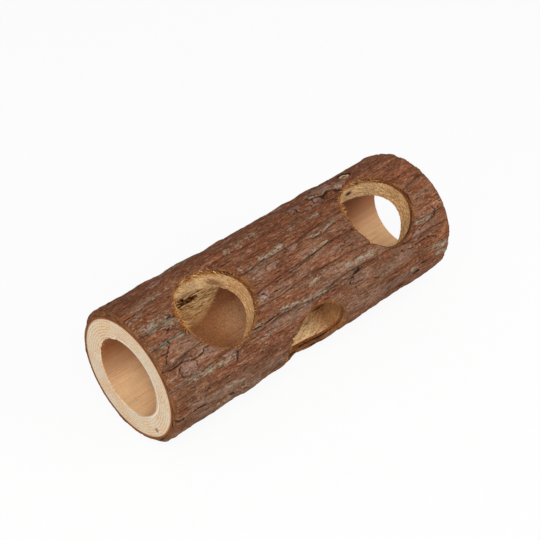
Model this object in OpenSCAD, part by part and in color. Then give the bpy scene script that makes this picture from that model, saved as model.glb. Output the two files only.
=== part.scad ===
// Hamster tunnel: a bark-covered log bored from end to end, with three round doorways.
// It lies along X, front sawn end at -X, rolled as it rests so that the top doorways lean towards -Y.

/* [Log] */
// Length between the two sawn ends
log_length = 200; // [160:1:260]
// Diameter of the wood under the bark
wood_d = 65; // [60:0.5:76]
// Roll of the top doorways towards -Y as the log lies
rest_roll = 28; // [0:1:32]

/* [Tunnel] */
// Diameter of the tunnel bored through the length
bore_d = 42.5; // [34:0.5:46]
// Chamfer worn round both mouths of the tunnel
mouth_chamfer = 0.6; // [0.2:0.1:1.5]
// Length of the split along the grain in the far wall, seen through the front doorway
split_len = 15; // [8:1:20]
// Height of the split
split_w = 5; // [2:0.2:6]
// Depth of the split into the wood
split_depth = 6; // [2:0.5:8]
// Front end to the middle of the split
split_x = 55; // [45:1:65]
// Angle from the top doorways round to the split, on the far side
split_angle = 106; // [95:1:115]

/* [Doorways] */
// Diameter of the drill that cut all three doorways
door_d = 41.5; // [32:0.5:44]
// Front end to the centre of the front top doorway
front_door_x = 44; // [34:1:56]
// Front end to the centre of the side doorway
side_door_x = 96; // [80:1:120]
// Rear end to the centre of the rear top doorway
rear_door_x = 41; // [34:1:56]
// Angle from the top doorways round to the side doorway
side_door_angle = 80; // [76:1:88]
// Solid ring of wood kept between a top doorway and its sawn end
end_ring = 12; // [8:1:16]

/* [Bark] */
// Thickness of the smooth inner bark next to the wood
inner_bark_t = 1; // [0.6:0.1:2]
// Mean thickness of the outer bark
outer_bark_t = 3; // [2:0.1:5]
// Depth of the furrows between two strips where they are deepest
furrow_depth = 1.4; // [0.4:0.1:1.8]
// Depth of the furrows where they are shallowest
furrow_fade = 0.25; // [0.1:0.05:0.4]
// Width of the sloped flank on each side of a furrow
flank_width = 1.5; // [0.8:0.1:2.5]
// Width of the open crack at the bottom of a furrow
crack_gap = 0.15; // [0.1:0.05:0.6]
// Rise and fall of the strips along the log
bark_swell = 0.45; // [0.1:0.05:0.8]
// Height of the lumps and plates on each strip
bark_lump = 0.5; // [0:0.05:0.8]
// Length of one wave of the furrows along the log
wave_length = 84; // [60:1:140]
// Sideways wander of a furrow in degrees
wander_angle = 1.2; // [0:0.1:2]
// Width of bark left whole beside the side doorway, up to the next furrow
door_neck = 5.5; // [4:0.5:8]
// How far the two strips that the log lies on stand out
foot_rise = 0.8; // [0.3:0.1:1]
// Turn of the furrow between them towards the heavier far side
foot_turn = 3; // [0:0.5:6]
// Height of the loose flake of bark beside the knot
flake_rise = 1.6; // [0:0.1:2]
// Length of that flake
flake_len = 26; // [12:1:28]
// Rear end to the middle of that flake
flake_x = 55; // [52:1:64]
// Bark worn off the edge at the sawn ends
end_bevel = 1; // [0.2:0.1:1.5]

/* [Knot] */
// Rear end to the centre of the knot
knot_x = 36; // [30:1:50]
// Angle from the top doorways round to the knot, on the far side
knot_angle = 50; // [48:1:75]
// Radius of the knot at the tunnel
knot_inner_r = 2; // [1.5:0.1:3]
// Radius of the knot at the bark
knot_outer_r = 3.2; // [2.5:0.1:4]
// Width of the raised collar round the knot
collar_w = 2; // [1.5:0.1:3]
// Height of the collar above the bark
collar_h = 1.1; // [0.5:0.1:2]

/* [Hidden] */
$fn = 96;
strip_count = 18;
// Bark sections along each strip, and the length of the worn stretch at each end
seg_count = 34;
end_len = 2.5;
// Least wood between tunnel and bark, and how much narrower than the tunnel a doorway stays
min_wall = 6;
door_step = 0.4;
// Least wood left behind the split
split_back = 3;
// How far a cut runs past the surface it opens
overrun = 12;
// How far bark pieces run under the inner bark's face before they are cut to it
underlap = 2;
// How far the knot's end lies below the bark
knot_sink = 0.4;
// Least bark left at the bottom of a furrow
furrow_floor = 0.3;
// How far the shoulders of a strip lie below its crown
shoulder_drop = 0.2;
// Share of the foot rise on the near side of the lowest line
near_foot = 0.2;
// The second of the two strips that the loose flake lies across, and the share of its rise at their points
flake_k = strip_count - 1;
flake_share = [[0, 0.3, 0.7, 0.9], [1, 1, 0.6, 0]];
wood_r = wood_d / 2;
bore_r = min(bore_d / 2, wood_r - min_wall);
door_r = min(door_d / 2, bore_r - door_step);
inner_r = wood_r + inner_bark_t;
bark_r = inner_r + outer_bark_t;
door_reach = bark_r + overrun;
half_len = log_length / 2;
front_x = -half_len + max(front_door_x, door_r + end_ring);
rear_x = half_len - max(rear_door_x, door_r + end_ring);
side_x = -half_len + side_door_x;
// The furrows on the near side: angle from the top doorways at the front end, the middle and the rear end
near_furrows = [[-31, -37, -35], [-10, -13, -17], [5, 6, -6], [23, 19, 31],
    [41, 35, 42], [61, 62, 60], [80, 81, 79]];
near_count = len(near_furrows);
// One furrow passes below the side doorway, at the far edge of the bark left whole there.
neck_a = side_door_angle + asin(door_r / bark_r) + door_neck / bark_r * 180 / PI;
neck_k = near_count + 1;
// One furrow lies under the log as it rests, so the two strips beside it carry it like feet.
under_a = 180 - rest_roll + foot_turn;
under_k = near_count + 3;
gap_a = crack_gap / 2 / bark_r * 180 / PI;
flank_a = flank_width / bark_r * 180 / PI;
knot_top = bark_r - knot_sink;
knot_cx = half_len - knot_x;
knot_taper = (knot_outer_r - knot_inner_r) / (knot_top - bore_r);
collar_r = knot_outer_r + collar_w;
ring_x = concat([-half_len], [for (i = [0 : seg_count]) ring_at(i)], [half_len]);
lowest = max([for (k = [0 : strip_count - 1], x = ring_x, p = strip_section(k, x))
    -p[0] * cos(p[1] + rest_roll)]);

// Rings of bark sections, evenly spaced between the two worn ends
function ring_at(i) = -half_len + end_len + (log_length - 2 * end_len) * i / seg_count;

// A steady scatter between -1 and 1 for strip k
function scatter(k, s) = let (v = sin((k % strip_count + 1) * 127.1 + s * 311.7) * 43.758)
    2 * (v - floor(v)) - 1;

// A wave along the log, some part of the wave length long
function wave(x, part, turn) = sin(360 * x / (part * wave_length) + 180 * turn);

// A smooth run through three values at the front end, the middle and the rear end
function run(v, x) = let (t = x / log_length + 0.5)
    v[0] * (2 * t - 1) * (t - 1) + v[1] * 4 * t * (1 - t) + v[2] * t * (2 * t - 1);

// Furrow k as an even share of the way from furrow i at angle a to furrow j at angle b
function between(k, i, a, j, b) = a + (b - a) * (k - i) / (j - i);

// Angle of furrow k at x without its wander: the near ones as listed, the others spaced evenly
function furrow_line(k, x) = k < near_count ? run(near_furrows[k], x)
    : k <= neck_k ? between(k, near_count - 1, run(near_furrows[near_count - 1], x), neck_k, neck_a)
    : k <= under_k ? between(k, neck_k, neck_a, under_k, under_a)
    : between(k, under_k, under_a, strip_count, 360 + run(near_furrows[0], x));

// Angle of furrow k at x, from the top doorways round towards -Y
function furrow_a(k, x) = furrow_line(k, x)
    + wander_angle * (wave(x, 1, scatter(k, 1)) + 0.5 * wave(x, 0.43, scatter(k, 2)));

// How far the bark has worn away at a sawn end
function worn(x) = abs(x) > half_len - end_len / 2 ? end_bevel : 0;

// Share of the foot rise that strip k has, more on the far side of the lowest line
function foot(k) = k % strip_count == under_k ? 1 : k % strip_count == under_k - 1 ? near_foot : 0;

// Radius of the crown of strip k at x, steadier along the two feet
function crown_r(k, x) = bark_r - worn(x) + foot(k) * foot_rise
    + (foot(k) > 0 ? 0.25 : 1) * bark_swell * (0.6 * wave(x, 0.9, scatter(k, 3))
    + 0.4 * wave(x, 0.31, scatter(k, 4)) + 0.5 * scatter(k, 5));

// Height of the loose flake above point j of strip k at x
function flake(k, x, j) = k < flake_k - 1 ? 0
    : flake_rise * flake_share[k - flake_k + 1][j]
        * max(0, 1 - pow(2 * (x - half_len + flake_x) / flake_len, 2));

// Height of the lumps and the flake above point j of strip k at x, none on the feet
function lump(k, x, j) = foot(k) > 0 ? 0 : flake(k, x, j)
    + bark_lump * (0.55 * wave(x, 0.19, scatter(k, 8 + j)) + 0.45 * wave(x, 0.27, scatter(k, 12 + j)));

// Depth of furrow k at x, which comes and goes but under the log
function furrow_drop(k, x) = k % strip_count == under_k ? furrow_depth
    : furrow_fade + (furrow_depth - furrow_fade) * (0.5 + 0.5 * wave(x, 0.57, scatter(k, 6)));

// Radius at the bottom of furrow k at x
function furrow_r(k, x) = let (c = min(crown_r(k, x), crown_r(k + strip_count - 1, x)))
    max(inner_r + furrow_floor, c - furrow_drop(k, x));

// One section of strip k as radius and angle pairs, from one crack over the crown to the next
function strip_section(k, x) = let (a = furrow_a(k, x) + gap_a, b = furrow_a(k + 1, x) - gap_a,
        c = crown_r(k, x), e = foot(k) > 0 ? foot_rise : shoulder_drop)
    [[inner_r - underlap, a], [furrow_r(k, x), a], [c - e + 0.5 * lump(k, x, 0), a + flank_a],
        [c + lump(k, x, 1), a + (b - a) * 0.36], [c + lump(k, x, 2), a + (b - a) * 0.66],
        [c - e + 0.5 * lump(k, x, 3), b - flank_a], [furrow_r(k + 1, x), b], [inner_r - underlap, b]];

// Stands the log as it rests, its lowest bark on the ground
module lie() {
    translate([0, 0, lowest]) rotate([rest_roll, 0, 0]) children();
}

module rod(r) {
    rotate([0, 90, 0]) cylinder(h = log_length + 2, r = r, center = true);
}

module drill(x, angle) {
    translate([x, 0, 0]) rotate([angle, 0, 0]) cylinder(h = door_reach, r = door_r);
}

// The three doorways
module doorways() {
    drill(front_x, 0);
    drill(rear_x, 0);
    drill(side_x, side_door_angle);
}

// The split in the tunnel's far wall, round at both ends
module split() {
    translate([-half_len + split_x, 0, 0]) rotate([-split_angle, 0, 0])
        linear_extrude(bore_r + min(split_depth, wood_r - bore_r - split_back)) {
            square([split_len - split_w, split_w], center = true);
            for (s = [-1, 1]) translate([s * (split_len - split_w) / 2, 0]) circle(d = split_w);
        }
}

// The tapered branch knot, run long at both ends
module knot_cone() {
    low_r = knot_inner_r - underlap * knot_taper;
    translate([knot_cx, 0, 0]) rotate([-knot_angle, 0, 0]) translate([0, 0, bore_r - underlap])
        cylinder(h = knot_top - bore_r + underlap, r1 = low_r, r2 = knot_outer_r);
}

module wood_tube() {
    color("#e3c492") lie() difference() {
        rotate([0, 90, 0]) cylinder(h = log_length, r = wood_r, center = true);
        rod(bore_r);
        for (s = [-1, 1])
            rotate([0, 90 * s, 0]) translate([0, 0, half_len - mouth_chamfer])
                cylinder(h = mouth_chamfer + 1, r1 = bore_r, r2 = bore_r + mouth_chamfer + 1);
        doorways();
        knot_cone();
        split();
    }
}

module inner_bark() {
    color("#7d4527") lie() difference() {
        rotate([0, 90, 0]) cylinder(h = log_length, r = inner_r, center = true);
        rod(wood_r);
        doorways();
        knot_cone();
    }
}

module knot() {
    color("#c9a26c") lie() difference() {
        knot_cone();
        rod(bore_r);
        doorways();
    }
}

// The callus of bark that grew round the branch, seated on the inner bark
module knot_collar() {
    h = knot_top - inner_r + underlap;
    color("#6b4a38") lie() difference() {
        translate([knot_cx, 0, 0]) rotate([-knot_angle, 0, 0]) translate([0, 0, inner_r - underlap])
            rotate_extrude() polygon([[knot_outer_r - h * knot_taper, 0], [collar_r, 0],
                [collar_r, h + 0.4 * collar_h], [collar_r - 0.3 * collar_w, h + collar_h],
                [collar_r - 0.7 * collar_w, h + collar_h], [knot_outer_r, h]]);
        rod(inner_r);
    }
}

// One long strip of outer bark, its underside seated on the inner bark
module bark_strip(k) {
    n = len(strip_section(k, 0));
    pts = [for (x = ring_x, p = strip_section(k, x)) [x, -p[0] * sin(p[1]), p[0] * cos(p[1])]];
    last = len(ring_x) - 1;
    sides = [for (i = [0 : last - 1], j = [0 : n - 1], t = [0, 1])
        let (a = i * n + j, b = i * n + (j + 1) % n)
        t == 0 ? [a, a + n, b + n] : [a, b + n, b]];
    ends = [[for (j = [0 : n - 1]) j], [for (j = [n - 1 : -1 : 0]) last * n + j]];
    color(k % 2 == 0 ? "#70503f" : "#654636") lie() difference() {
        polyhedron(points = pts, faces = concat(sides, ends), convexity = 8);
        rod(inner_r);
        doorways();
        translate([knot_cx, 0, 0]) rotate([-knot_angle, 0, 0]) cylinder(h = door_reach, r = collar_r);
    }
}

wood_tube();
inner_bark();
knot();
knot_collar();
bark_strip(0);  // bark_strip_01
bark_strip(1);  // bark_strip_02
bark_strip(2);  // bark_strip_03
bark_strip(3);  // bark_strip_04
bark_strip(4);  // bark_strip_05
bark_strip(5);  // bark_strip_06
bark_strip(6);  // bark_strip_07
bark_strip(7);  // bark_strip_08
bark_strip(8);  // bark_strip_09
bark_strip(9);  // bark_strip_10
bark_strip(10);  // bark_strip_11
bark_strip(11);  // bark_strip_12
bark_strip(12);  // bark_strip_13
bark_strip(13);  // bark_strip_14
bark_strip(14);  // bark_strip_15
bark_strip(15);  // bark_strip_16
bark_strip(16);  // bark_strip_17
bark_strip(17);  // bark_strip_18
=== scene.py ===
import bpy
import bmesh
import math
import random
import numpy as np
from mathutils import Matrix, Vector, noise


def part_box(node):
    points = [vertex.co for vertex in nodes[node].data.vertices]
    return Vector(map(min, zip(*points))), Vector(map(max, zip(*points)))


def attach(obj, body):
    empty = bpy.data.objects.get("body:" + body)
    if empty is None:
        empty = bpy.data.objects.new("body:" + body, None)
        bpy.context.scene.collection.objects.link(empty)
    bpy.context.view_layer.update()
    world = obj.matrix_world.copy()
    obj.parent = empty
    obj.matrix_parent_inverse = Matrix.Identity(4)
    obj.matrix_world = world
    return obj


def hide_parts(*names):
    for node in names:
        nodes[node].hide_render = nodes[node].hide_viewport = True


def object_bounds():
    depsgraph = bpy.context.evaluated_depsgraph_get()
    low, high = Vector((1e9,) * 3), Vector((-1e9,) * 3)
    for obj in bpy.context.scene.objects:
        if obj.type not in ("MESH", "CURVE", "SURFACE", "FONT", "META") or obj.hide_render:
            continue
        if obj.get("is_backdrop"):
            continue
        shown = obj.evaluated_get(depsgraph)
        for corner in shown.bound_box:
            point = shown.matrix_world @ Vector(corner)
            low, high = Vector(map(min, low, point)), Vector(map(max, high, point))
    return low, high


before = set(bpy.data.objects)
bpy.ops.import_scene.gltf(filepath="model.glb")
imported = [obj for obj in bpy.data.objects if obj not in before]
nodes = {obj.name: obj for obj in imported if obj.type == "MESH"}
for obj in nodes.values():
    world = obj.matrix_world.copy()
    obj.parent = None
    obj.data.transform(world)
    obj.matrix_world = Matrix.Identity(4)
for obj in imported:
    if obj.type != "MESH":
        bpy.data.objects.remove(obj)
cadLow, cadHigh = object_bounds()
scene = bpy.context.scene
mm = 0.001
joinGap = 0.002 * mm  # points nearer than this are one
alongLog = Vector((1, 0, 0))

# The log as the solids give it: it lies along X, rolled so that the top doorways lean towards -Y
woodLow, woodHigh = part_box("wood_tube")
log = dict(
    halfLength=woodHigh.x,
    axisHeight=(woodLow.z + woodHigh.z) / 2,
    woodR=32.5 * mm,
    innerR=33.5 * mm,
    barkR=36.2 * mm,
    boreR=21.25 * mm,
    doorR=20.75 * mm,
    roll=28,  # degrees
)
doorways = dict(front=(-56 * mm, 0), side=(-4 * mm, 80), rear=(59 * mm, 0))  # place along X, turn
stripCount = sum(name.startswith("bark_strip") for name in nodes)
barkDegree = log["barkR"] / mm * math.pi / 180  # mm round the bark for a degree of turn


def onLog(x, turn, radius):
    a = math.radians(turn + log["roll"])
    return Vector((x, -radius * math.sin(a), log["axisHeight"] + radius * math.cos(a)))


def outwardAt(turn):
    return onLog(0, turn, 1) - onLog(0, 0, 0)


def doorFrame(place):
    x, turn = place
    axis = outwardAt(turn)
    return onLog(x, 0, 0), axis, axis.cross(alongLog)


# Turn of each point round the log, in degrees
def turnOf(place):
    return np.degrees(np.arctan2(-place[:, 1], place[:, 2] - log["axisHeight"])) - log["roll"]


# Degrees from one turn to another, the nearest way round the log
def turnGap(turn, start):
    return (turn - start + 180) % 360 - 180


# Evenly spaced turns for the points of a ring
def ringTurns(sides):
    return np.arange(sides) * 360 / sides


# Keeps a share between 0 and 1
def unit(share):
    return np.clip(share, 0, 1)


# sRGB hex to linear
def colour(hexCode):
    parts = [int(hexCode[i:i + 2], 16) / 255 for i in (1, 3, 5)]
    return [p / 12.92 if p <= 0.04045 else ((p + 0.055) / 1.055) ** 2.4 for p in parts] + [1]


# Adds one node to the tree in hand: values fill its sockets in order, names with a capital are sockets, the
# others are settings, and a node given as a value stands for its first usable output
def add(kind, *values, stops=None, **named):
    plain = kind.startswith(("Geometry", "Function", "NodeGroup"))
    node = tree.nodes.new(kind if plain else "ShaderNode" + kind)
    for name, value in named.items():
        if name[0].islower():
            setattr(node, name, value)
    usable = [socket for socket in node.inputs if socket.enabled]
    pairs = list(zip(usable, values))
    pairs += [(node.inputs[name], value) for name, value in named.items() if name[0].isupper()]
    for socket, value in pairs:
        if isinstance(value, bpy.types.Node):
            value = next(output for output in value.outputs if output.enabled)
        if isinstance(value, bpy.types.NodeSocket):
            tree.links.new(value, socket)
        else:
            socket.default_value = value
    if stops:
        band = node.color_ramp.elements
        while len(band) < len(stops):
            band.new(1)
        for element, (place, value) in zip(band, stops):
            element.position = place
            element.color = colour(value) if isinstance(value, str) else (value, value, value, 1)
    return node


# Takes the emptied tree of a material or the world in hand
def startTree(owner):
    global tree
    owner.use_nodes = True
    tree = owner.node_tree
    tree.nodes.clear()


# New material in hand, and the Object coordinates that its patterns use
def newMaterial(name):
    material = bpy.data.materials.new(name)
    startTree(material)
    return material, add("TexCoord").outputs["Object"]


# Every finish ends in a matt shader, with a bump where it has a height
def closeMaterial(facts, body, height=None):
    sockets = {"Base Color": body, "Roughness": facts["rough"], "IOR": facts["ior"]}
    sockets["Specular IOR Level"] = facts["shine"]
    if height is not None:
        strength, depth = facts["bump"]
        sockets["Normal"] = add("Bump", Height=height, Strength=strength, Distance=depth * mm)
    add("OutputMaterial", add("BsdfPrincipled", **sockets))


# Fibrous pattern drawn out along the log: size is its length and width in mm
def grainPattern(spot, size, detail, rough):
    length, width = size
    place = add("VectorMath", spot, (length * mm, width * mm, width * mm), operation="DIVIDE")
    return add("TexNoise", Vector=place, Scale=1.0, Detail=detail, Roughness=rough)


# Each point seen from the log's axis, the part of that across the log, and its length
def fromAxis(spot, axisPoint):
    centred = add("VectorMath", spot, axisPoint, operation="SUBTRACT")
    radial = add("VectorMath", centred, (0, 1, 1), operation="MULTIPLY")
    return centred, radial, add("VectorMath", radial, operation="LENGTH")


def newObject(name, mesh, material):
    piece = bpy.data.objects.new(name, mesh)
    scene.collection.objects.link(piece)
    mesh.materials.append(material)
    return piece


# Turns an object with its modifiers into a plain mesh of its own
def settle(piece):
    depsgraph = bpy.context.evaluated_depsgraph_get()
    mesh = bpy.data.meshes.new_from_object(piece.evaluated_get(depsgraph), depsgraph=depsgraph)
    piece.modifiers.clear()
    piece.data = mesh
    return mesh


def points(mesh):
    flat = np.empty(len(mesh.vertices) * 3, np.float32)
    mesh.vertices.foreach_get("co", flat)
    return flat.reshape(-1, 3).astype(float)


def movePoints(mesh, place):
    mesh.vertices.foreach_set("co", place.astype(np.float32).ravel())
    mesh.update()


def storeFloat(mesh, name, values):
    mesh.attributes.new(name, "FLOAT", "POINT").data.foreach_set("value", np.asarray(values, np.float32))


# Fine even mesh over a copy of a solid, whose loose triangles are joined first
def voxelCopy(name, node, material, voxel):
    shape = bmesh.new()
    shape.from_mesh(nodes[node].data)
    bmesh.ops.remove_doubles(shape, verts=shape.verts, dist=joinGap)
    mesh = bpy.data.meshes.new(node)
    shape.to_mesh(mesh)
    shape.free()
    piece = newObject(name, mesh, material)
    voxels = piece.modifiers.new("voxels", "REMESH")
    voxels.mode = "VOXEL"
    voxels.voxel_size = voxel * mm
    return piece, settle(piece)


# Closed skin over rings of points, with a fan at each end
def skin(name, rings, material):
    count, around = rings.shape[:2]
    i, j = np.meshgrid(np.arange(count - 1), np.arange(around), indexing="ij")
    k = (j + 1) % around
    quads = np.stack([i * around + j, i * around + k, (i + 1) * around + k, (i + 1) * around + j], -1)
    base, last = count * around, (count - 1) * around
    fans = [(base, (s + 1) % around, s) for s in range(around)]
    fans += [(base + 1, last + s, last + (s + 1) % around) for s in range(around)]
    ends = [rings[0].mean(0), rings[-1].mean(0)]
    mesh = bpy.data.meshes.new(name)
    corners = np.concatenate([rings.reshape(-1, 3), ends])
    mesh.from_pydata(corners.tolist(), [], quads.reshape(-1, 4).tolist() + fans)
    shell = bmesh.new()
    shell.from_mesh(mesh)
    bmesh.ops.recalc_face_normals(shell, faces=shell.faces)
    shell.to_mesh(mesh)
    shell.free()
    return newObject(name, mesh, material)


# New Geometry Nodes tree in hand, with its named inputs
def newTree(name, **inputs):
    global tree
    tree = bpy.data.node_groups.new(name, "GeometryNodeTree")
    tree.interface.new_socket("Geometry", in_out="OUTPUT", socket_type="NodeSocketGeometry")
    tree.interface.new_socket("Geometry", in_out="INPUT", socket_type="NodeSocketGeometry")
    for label, kind in inputs.items():
        tree.interface.new_socket(label, in_out="INPUT", socket_type="NodeSocket" + kind)
    return tree, add("NodeGroupInput").outputs


# The export drops instances, so a tree ends in real, smooth faces with their material
def closeTree(shape, material):
    shape = add("GeometryNodeRealizeInstances", shape)
    shape = add("GeometryNodeSetShadeSmooth", shape)
    shape = add("GeometryNodeSetMaterial", shape, Material=material)
    add("NodeGroupOutput", shape)


# Puts a tree on a piece, with each input set by its socket's identifier
def runTree(piece, group, **values):
    modifier = piece.modifiers.new(group.name, "NODES")
    modifier.node_group = group
    for socket in group.interface.items_tree:
        if socket.in_out == "INPUT" and socket.name in values:
            modifier[socket.identifier] = values[socket.name]


# Floor, light and camera: lengths of the camera in mm, lamps as place and size in metres and power in watts
studio = dict(
    eye=(-350.23, -361.88, 452.04), aim=(1.753, 6.758, 43.845), lens=82.476, sensor=36,
    floorHalf=4, floorGlow=0.91, floorGrey="#dededc", floorWhite="#e4e4e2", floorGrain=180, worldLight=0.45,
    lampAim=(0, 0, 0.03),
    lamps=dict(keyLight=((-0.68, -0.62, 0.95), 0.9, 13.8), fillLight=((0.5, -0.9, 0.6), 0.8, 5.5)),
)


def setUp(thing, place, direction):
    thing.location = place
    thing.rotation_mode = "QUATERNION"
    thing.rotation_quaternion = direction.to_track_quat("-Z", "Y")
    scene.collection.objects.link(thing)


# 1 where the eye sees the sheet or the sky straight, in a gloss or through glass
def seenStraight():
    path = add("LightPath").outputs
    seen = add("Math", path["Is Camera Ray"], path["Is Glossy Ray"], operation="MAXIMUM")
    return add("Math", seen, path["Is Transmission Ray"], operation="MAXIMUM")


camera = bpy.data.objects.new("camera", bpy.data.cameras.new("camera"))
camera.data.lens = studio["lens"]
camera.data.sensor_width = studio["sensor"]
setUp(camera, Vector(studio["eye"]) * mm, Vector(studio["aim"]) - Vector(studio["eye"]))
scene.camera = camera

# White laminate sheet: matt, evenly white, with the log's soft shadow on it
floorSheet, spot = newMaterial("whiteLaminateSheet")
share = add("Math", seenStraight(), studio["floorGlow"], operation="MULTIPLY")
grain = add("TexNoise", Vector=spot, Scale=studio["floorGrain"])
tint = add("ValToRGB", grain, stops=[(0.3, studio["floorGrey"]), (0.7, studio["floorWhite"])])
matt = add("BsdfDiffuse", tint)
glow = add("Emission", (1, 1, 1, 1), 1.0)
add("OutputMaterial", add("MixShader", share, matt, glow))
sheet = bpy.data.meshes.new("floor")
half = studio["floorHalf"]
corners = [(-half, -half, 0), (half, -half, 0), (half, half, 0), (-half, half, 0)]
sheet.from_pydata(corners, [], [(0, 1, 2, 3)])
floor = newObject("floor", sheet, floorSheet)
floor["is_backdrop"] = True

world = bpy.data.worlds.new("studioWhite")
startTree(world)
strength = add("MapRange", seenStraight(), 0.0, 1.0, studio["worldLight"], 1.0)
back = add("Background", (1, 1, 1, 1), strength)
add("OutputWorld", back)
scene.world = world
for name, (place, size, power) in studio["lamps"].items():
    lamp = bpy.data.objects.new(name, bpy.data.lights.new(name, "AREA"))
    lamp.data.energy = power
    lamp.data.size = size
    setUp(lamp, Vector(place), Vector(studio["lampAim"]) - Vector(place))
scene.view_settings.view_transform = "Standard"
print("studio set")

# Dry furrowed bark: matt, reddish to mauve brown, fibrous along the grain, with black cracks and pale
# weathered flanks. The fibre is drawn about twice as coarse as the real one, so that it shows in the render
bark = dict(
    red="#6c3e26", brown="#714a34", mauve="#7b5c4a", dark="#2d180d", light="#a37f65", scab="#84665a",
    pale="#9a907e", moss="#7b7255", cool="#96897f", rust="#9a6340", crack="#190e08",
    rim="#7d4f2c", rimDark="#2e170c", rimPale="#8b6137", layer=0.9, layerRun=9,
    # length and width in mm
    patch=(30, 8), blotch=(14, 5), streak=(12, 0.9), speck=(2.6, 0.8), flaw=(3.5, 1.2), grit=(1.0, 0.7),
    # from and to in mm, amount; the low side's darkening is painted shade
    redShift=(27, 36, -0.14), rearShift=(40, 80, -0.07), bleach=(55, 95, 1.13), damp=(18, 32, 0.91),
    redTurn=-45, lowTurn=85,
    rough=0.9, ior=1.4, shine=0.2, bump=(1.0, 0.35),
)
dryBark, spot = newMaterial("dryFurrowedBark")
field = {}
for name, detail in dict(patch=3.0, blotch=2.0, streak=4.0, speck=2.0, flaw=3.0, grit=2.0).items():
    field[name] = grainPattern(spot, bark[name], detail, 0.65)
gritHue = field["grit"].outputs["Color"]
mark = {name: add("Attribute", attribute_name=name).outputs["Fac"]
        for name in ("crack", "pale", "rust", "rim", "flake", "seam")}
# The upper far side is redder, the rear end a little bleached, and the low side painted a little darker as
# painted shade
centred, _, radius = fromAxis(spot, onLog(0, 0, 0))
redness = add("VectorMath", centred, outwardAt(bark["redTurn"]), operation="DOT_PRODUCT")
lowness = add("VectorMath", centred, outwardAt(bark["lowTurn"]), operation="DOT_PRODUCT")
along = add("SeparateXYZ", spot)
trend = {}
for name, source, start in (
    ("redShift", redness, 0.0), ("rearShift", along, 0.0), ("bleach", along, 1.0), ("damp", lowness, 1.0),
):
    low, high, amount = bark[name]
    trend[name] = add("MapRange", source, low * mm, high * mm, start, amount)
hueAt = field["patch"]
for name in ("redShift", "rearShift"):
    hueAt = add("Math", hueAt, trend[name], operation="ADD")
body = add("ValToRGB", hueAt, stops=[(0.38, bark["red"]), (0.5, bark["brown"]), (0.62, bark["mauve"])])
body = add("Mix", mark["flake"], body, colour(bark["scab"]), data_type="RGBA")
body = add("Mix", 0.4, body, gritHue, data_type="RGBA", blend_type="OVERLAY")
for name, stops, tone in (
    ("streak", [(0.32, 0.75), (0.46, 0.0)], "dark"), ("streak", [(0.55, 0.0), (0.7, 0.5)], "light"),
    ("speck", [(0.3, 0.7), (0.45, 0.0)], "dark"), ("speck", [(0.56, 0.0), (0.7, 0.6)], "light"),
):
    share = add("ValToRGB", field[name], stops=stops)
    body = add("Mix", share, body, colour(bark[tone]), data_type="RGBA")
gritTone = add("MapRange", field["grit"], 0.3, 0.7, 0.74, 1.25)
blotchTone = add("MapRange", field["blotch"], 0.32, 0.68, 0.8, 1.2)
for tone in (trend["bleach"], trend["damp"], gritTone, blotchTone):
    body = add("Mix", 1.0, body, tone, data_type="RGBA", blend_type="MULTIPLY")
paleTone = add("ValToRGB", field["flaw"],
               stops=[(0.4, bark["moss"]), (0.52, bark["pale"]), (0.64, bark["cool"])])
# Where the bark is cut through, its yearly layers show
layer = add("Math", radius, bark["layer"] * mm, operation="DIVIDE")
layer = add("CombineXYZ", 0.0, 0.0, layer)
layerAt = add("VectorMath", spot, [1 / (bark["layerRun"] * mm)] * 3, layer, operation="MULTIPLY_ADD")
layers = add("TexNoise", Vector=layerAt, Scale=1.0, Detail=3.0)
rimTone = add("ValToRGB", layers,
              stops=[(0.36, bark["rimDark"]), (0.5, bark["rim"]), (0.66, bark["rimPale"])])
# Noise breaks up the marks, then they lie over the bark in this order
cracked = add("Math", mark["crack"], mark["seam"], operation="MAXIMUM")
for share, parts, low, high, most, tone in (
    (mark["pale"], (("speck", 1.6), ("grit", 1.4)), 1.85, 2.4, 0.8, paleTone),
    (mark["rust"], (("speck", 1.4),), 1.05, 1.55, 0.75, colour(bark["rust"])),
    (mark["rim"], (), 0.0, 1.0, 1.0, rimTone),
    (cracked, (("flaw", 1.3), ("speck", 1.3)), 1.76, 2.08, 0.92, colour(bark["crack"])),
):
    for name, amount in parts:
        share = add("Math", field[name], amount, share, operation="MULTIPLY_ADD")
    share = add("MapRange", share, low, high, 0.0, most)
    body = add("Mix", share, body, tone, data_type="RGBA")
height = add("Math", field["streak"], field["speck"], operation="ADD")
height = add("Math", field["grit"], 0.5, height, operation="MULTIPLY_ADD")
closeMaterial(bark, body, height)

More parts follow.
